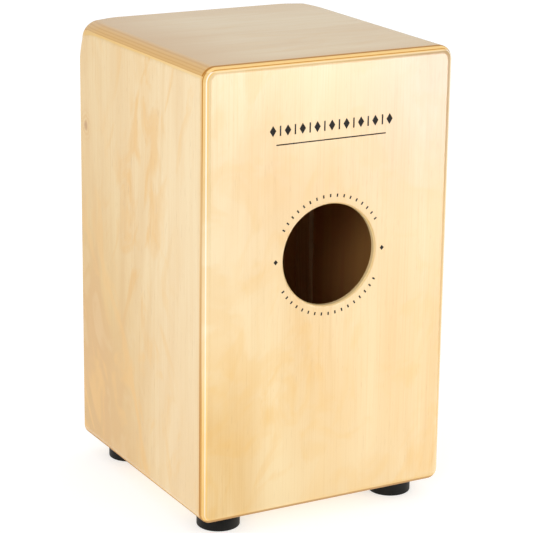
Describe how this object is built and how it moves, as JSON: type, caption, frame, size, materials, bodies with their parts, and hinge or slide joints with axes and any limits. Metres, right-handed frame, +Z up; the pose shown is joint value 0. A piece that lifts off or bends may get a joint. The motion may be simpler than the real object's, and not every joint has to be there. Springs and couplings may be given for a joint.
{
  "type": "cajon",
  "caption": "Box-shaped string cajon in plywood with a round rear sound hole, screwed front plate, rubber feet and tunable snare strings.",
  "frame": {"origin": "on the floor, under the middle of the box", "axes": "+Z up; the front playing plate faces -Y and the sound hole faces +Y"},
  "size_m": [0.29, 0.3, 0.499],
  "materials": {
    "birch_plywood": "gloss lacquer",
    "tapa_veneer": "satin lacquer",
    "softwood": "raw",
    "hardwood": "raw",
    "black_rubber": "satin",
    "zinc_steel": "zinc plated",
    "nickel_steel": "nickel plated",
    "black_steel": "black oxide",
    "brass": "turned",
    "string_steel": "bright wire"
  },
  "bodies": {
    "case": {"top_panel": "birch_plywood", "side_panel_left": "birch_plywood", "side_panel_right": "birch_plywood", "bottom_panel": "birch_plywood", "rear_panel": "birch_plywood", "tapa": "tapa_veneer", "front_batten_left": "softwood", "front_batten_right": "softwood", "front_batten_top": "softwood", "front_batten_bottom": "softwood", "string_anchor_bar": "hardwood", "foot_front_left": "black_rubber", "foot_front_right": "black_rubber", "foot_rear_left": "black_rubber", "foot_rear_right": "black_rubber", "foot_washers": "zinc_steel", "foot_screws": "zinc_steel", "tapa_screws": "black_steel", "bracket_screws": "zinc_steel", "hitch_pins": "nickel_steel", "tuner_bushing_left": "nickel_steel", "tuner_bracket_left": "zinc_steel", "snare_string_left": "string_steel", "tuner_bushing_right": "nickel_steel", "tuner_bracket_right": "zinc_steel", "snare_string_right": "string_steel"},
    "screw_left": {"tuning_screw_left": "black_steel"},
    "carriage_left": {"tuner_carriage_left": "brass", "string_post_left": "nickel_steel"},
    "screw_right": {"tuning_screw_right": "black_steel"},
    "carriage_right": {"tuner_carriage_right": "brass", "string_post_right": "nickel_steel"}
  },
  "joints": [
    {"name": "tuning_screw_left_turn", "type": "hinge", "parent": "case", "child": "screw_left", "pos_m": [0.045, -0.133, 0.059], "axis": [0, 0, 1], "range_deg": [-2160, 2160]},
    {"name": "tuner_carriage_left_travel", "type": "slide", "parent": "case", "child": "carriage_left", "axis": [0, 0, -1], "range_m": [-0.0048, 0.0048], "deforming": ["snare_string_left"]},
    {"name": "tuning_screw_right_turn", "type": "hinge", "parent": "case", "child": "screw_right", "pos_m": [-0.045, -0.133, 0.059], "axis": [0, 0, 1], "range_deg": [-2160, 2160]},
    {"name": "tuner_carriage_right_travel", "type": "slide", "parent": "case", "child": "carriage_right", "axis": [0, 0, -1], "range_m": [-0.0048, 0.0048], "deforming": ["snare_string_right"]}
  ],
  "couplings": [
    {"joint": "tuning_screw_left_turn", "follows": "tuner_carriage_left_travel", "rad_per_m": 7854},
    {"joint": "tuning_screw_right_turn", "follows": "tuner_carriage_right_travel", "rad_per_m": 7854}
  ]
}
